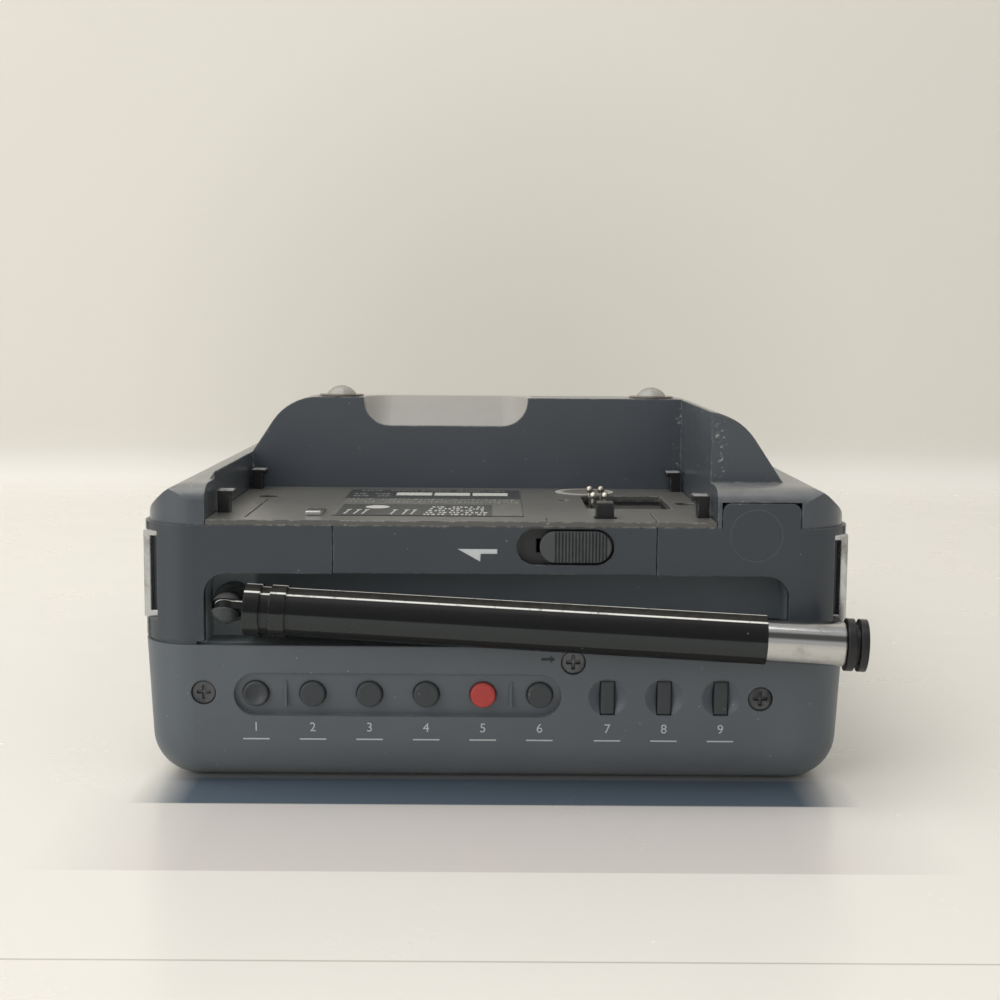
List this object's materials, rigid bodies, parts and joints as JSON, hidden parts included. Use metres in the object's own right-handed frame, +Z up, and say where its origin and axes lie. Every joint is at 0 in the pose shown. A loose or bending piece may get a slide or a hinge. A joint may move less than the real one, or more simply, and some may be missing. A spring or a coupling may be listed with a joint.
{
  "type": "portable video cassette player",
  "caption": "Low oblong portable video cassette player with a flip-up screen lid, a cassette door, an open battery bay at the rear, a folded telescopic antenna and rows of small keys.",
  "frame": {"origin": "middle of the overall box at the table, on the underside of the case", "axes": "+X to the right of someone who faces the rear face with the battery bay, +Y from that face to the opposite end, +Z up"},
  "size_m": [0.13, 0.2237, 0.0702],
  "materials": {
    "shell_dark": "fine texture, lightly dusted",
    "shell_lower": "fine texture",
    "platform": "satin, moulded",
    "trim_black": "satin to gloss",
    "chrome_tube": "polished, drawn",
    "steel": "plain zinc finish",
    "strap_metal": "satin chrome",
    "contact_metal": "bright tips",
    "deck_metal": "turned and stamped",
    "board": "circuit board",
    "label_film": "printed film, left blank",
    "bumper_rubber": "moulded",
    "belt_rubber": "ground belt",
    "wheel_plastic": "acetal",
    "jack_black": "moulded",
    "window_clear": "clear window",
    "screen_glass": "dark screen",
    "key_grey": "fine texture",
    "key_red": "moulded red"
  },
  "bodies": {
    "case": {"antenna_bay": "shell_dark", "middle_shell": "shell_dark", "top_cover": "shell_dark", "rear_panel": "shell_dark", "lower_shell": "shell_lower", "battery_platform": "platform", "battery_hooks": "platform", "contact_block": "platform", "key_deck": "trim_black", "cassette_tray": "trim_black", "speaker": "trim_black", "antenna_knuckle": "trim_black", "case_screws": "steel", "hinge_pins": "steel", "speaker_grille": "steel", "tuner_box": "steel", "strap_bars": "strap_metal", "contact_pins": "contact_metal", "deck_chassis": "deck_metal", "main_board": "board", "timer_board": "board", "key_board": "board", "data_label": "label_film", "lid_bumpers": "bumper_rubber", "drive_belt": "belt_rubber", "side_jacks": "jack_black"},
    "screen_lid_body": {"screen_lid": "shell_dark", "screen_bezel": "trim_black", "lcd_panel": "screen_glass"},
    "cassette_door_body": {"cassette_door": "shell_dark", "door_window": "window_clear", "door_spring": "steel"},
    "antenna_base": {"antenna_sleeve": "trim_black"},
    "antenna_stage_1": {"antenna_tube_1": "chrome_tube"},
    "antenna_stage_2": {"antenna_tube_2": "chrome_tube"},
    "antenna_stage_3": {"antenna_tube_3": "chrome_tube"},
    "release": {"release_slide": "trim_black"},
    "peg": {"lock_peg": "platform"},
    "volume": {"volume_wheel": "trim_black"},
    "power": {"power_switch": "trim_black"},
    "eject": {"eject_slider": "trim_black"},
    "drum": {"head_drum": "deck_metal"},
    "capstan_body": {"capstan": "steel"},
    "idler": {"idler_wheel": "wheel_plastic"},
    "supply": {"supply_reel": "wheel_plastic"},
    "takeup": {"takeup_reel": "wheel_plastic"},
    "timer_button_1_body": {"timer_button_1": "key_grey"},
    "timer_button_2_body": {"timer_button_2": "key_grey"},
    "timer_button_3_body": {"timer_button_3": "key_grey"},
    "timer_button_4_body": {"timer_button_4": "key_grey"},
    "timer_button_5_body": {"timer_button_5": "key_red"},
    "timer_button_6_body": {"timer_button_6": "key_grey"},
    "recessed_key_1_body": {"recessed_key_1": "key_grey"},
    "recessed_key_2_body": {"recessed_key_2": "key_grey"},
    "recessed_key_3_body": {"recessed_key_3": "key_grey"},
    "function_key_1_body": {"function_key_1": "key_grey"},
    "function_key_2_body": {"function_key_2": "key_grey"},
    "function_key_3_body": {"function_key_3": "key_grey"},
    "function_key_4_body": {"function_key_4": "key_grey"},
    "function_key_5_body": {"function_key_5": "key_grey"}
  },
  "joints": [
    {"name": "screen_lid_hinge", "type": "hinge", "parent": "case", "child": "screen_lid_body", "pos_m": [0, -0.0272, 0.06551], "axis": [1, 0, 0], "range_deg": [0, 110]},
    {"name": "cassette_door_hinge", "type": "hinge", "parent": "case", "child": "cassette_door_body", "pos_m": [0, 0.037, 0.06215], "axis": [1, 0, 0], "range_deg": [0, 40]},
    {"name": "antenna_swing", "type": "hinge", "parent": "case", "child": "antenna_base", "pos_m": [-0.0484, -0.1007, 0.0325], "axis": [-0.0664, -0.5434, -0.8368], "range_deg": [0, 90]},
    {"name": "antenna_slide_1", "type": "slide", "parent": "antenna_base", "child": "antenna_stage_1", "axis": [0.9975, -0.0575, -0.0418], "range_m": [0, 0.068]},
    {"name": "antenna_slide_2", "type": "slide", "parent": "antenna_stage_1", "child": "antenna_stage_2", "axis": [0.9975, -0.0575, -0.0418], "range_m": [0, 0.08]},
    {"name": "antenna_slide_3", "type": "slide", "parent": "antenna_stage_2", "child": "antenna_stage_3", "axis": [0.9975, -0.0575, -0.0418], "range_m": [0, 0.078]},
    {"name": "release_slide_travel", "type": "slide", "parent": "case", "child": "release", "axis": [-1, 0, 0], "range_m": [0, 0.0036], "stiffness_N_per_m": 150},
    {"name": "lock_peg_travel", "type": "slide", "parent": "case", "child": "peg", "axis": [0, 0, -1], "range_m": [0, 0.0032]},
    {"name": "timer_button_1_press", "type": "slide", "parent": "case", "child": "timer_button_1_body", "axis": [0, 1, 0], "range_m": [0, 0.0007], "stiffness_N_per_m": 400},
    {"name": "timer_button_2_press", "type": "slide", "parent": "case", "child": "timer_button_2_body", "axis": [0, 1, 0], "range_m": [0, 0.0007], "stiffness_N_per_m": 400},
    {"name": "timer_button_3_press", "type": "slide", "parent": "case", "child": "timer_button_3_body", "axis": [0, 1, 0], "range_m": [0, 0.0007], "stiffness_N_per_m": 400},
    {"name": "timer_button_4_press", "type": "slide", "parent": "case", "child": "timer_button_4_body", "axis": [0, 1, 0], "range_m": [0, 0.0007], "stiffness_N_per_m": 400},
    {"name": "timer_button_5_press", "type": "slide", "parent": "case", "child": "timer_button_5_body", "axis": [0, 1, 0], "range_m": [0, 0.0007], "stiffness_N_per_m": 400},
    {"name": "timer_button_6_press", "type": "slide", "parent": "case", "child": "timer_button_6_body", "axis": [0, 1, 0], "range_m": [0, 0.0007], "stiffness_N_per_m": 400},
    {"name": "recessed_key_1_press", "type": "slide", "parent": "case", "child": "recessed_key_1_body", "axis": [0, 1, 0], "range_m": [0, 0.0007], "stiffness_N_per_m": 400},
    {"name": "recessed_key_2_press", "type": "slide", "parent": "case", "child": "recessed_key_2_body", "axis": [0, 1, 0], "range_m": [0, 0.0007], "stiffness_N_per_m": 400},
    {"name": "recessed_key_3_press", "type": "slide", "parent": "case", "child": "recessed_key_3_body", "axis": [0, 1, 0], "range_m": [0, 0.0007], "stiffness_N_per_m": 400},
    {"name": "function_key_1_press", "type": "slide", "parent": "case", "child": "function_key_1_body", "axis": [0, 0, -1], "range_m": [0, 0.0007], "stiffness_N_per_m": 400},
    {"name": "function_key_2_press", "type": "slide", "parent": "case", "child": "function_key_2_body", "axis": [0, 0, -1], "range_m": [0, 0.0007], "stiffness_N_per_m": 400},
    {"name": "function_key_3_press", "type": "slide", "parent": "case", "child": "function_key_3_body", "axis": [0, 0, -1], "range_m": [0, 0.0007], "stiffness_N_per_m": 400},
    {"name": "function_key_4_press", "type": "slide", "parent": "case", "child": "function_key_4_body", "axis": [0, 0, -1], "range_m": [0, 0.0007], "stiffness_N_per_m": 400},
    {"name": "function_key_5_press", "type": "slide", "parent": "case", "child": "function_key_5_body", "axis": [0, 0, -1], "range_m": [0, 0.0007], "stiffness_N_per_m": 400},
    {"name": "volume_turn", "type": "hinge", "parent": "case", "child": "volume", "pos_m": [0.0562, 0.0088, 0.038], "axis": [0, 0, 1], "range_deg": [0, 270]},
    {"name": "power_slide", "type": "slide", "parent": "case", "child": "power", "axis": [0, 1, 0], "range_m": [0, 0.006]},
    {"name": "eject_slide", "type": "slide", "parent": "case", "child": "eject", "axis": [0, -1, 0], "range_m": [0, 0.006], "stiffness_N_per_m": 120},
    {"name": "drum_spin", "type": "hinge", "parent": "case", "child": "drum", "pos_m": [0, -0.0022, 0.048], "axis": [0, 0, 1], "continuous": true},
    {"name": "capstan_spin", "type": "hinge", "parent": "case", "child": "capstan_body", "pos_m": [0.024, 0.0373, 0.038], "axis": [0, 0, 1], "continuous": true},
    {"name": "idler_spin", "type": "hinge", "parent": "case", "child": "idler", "pos_m": [0, 0.0708, 0.036], "axis": [0, 0, 1], "continuous": true},
    {"name": "supply_reel_spin", "type": "hinge", "parent": "case", "child": "supply", "pos_m": [-0.023, 0.0708, 0.04], "axis": [0, 0, 1], "continuous": true},
    {"name": "takeup_reel_spin", "type": "hinge", "parent": "case", "child": "takeup", "pos_m": [0.023, 0.0708, 0.04], "axis": [0, 0, 1], "continuous": true}
  ],
  "couplings": [
    {"joint": "lock_peg_travel", "follows": "release_slide_travel", "ratio": 0.88},
    {"joint": "idler_spin", "follows": "capstan_spin", "ratio": 1},
    {"joint": "supply_reel_spin", "follows": "capstan_spin", "ratio": -1.295},
    {"joint": "takeup_reel_spin", "follows": "capstan_spin", "ratio": -1.295}
  ]
}
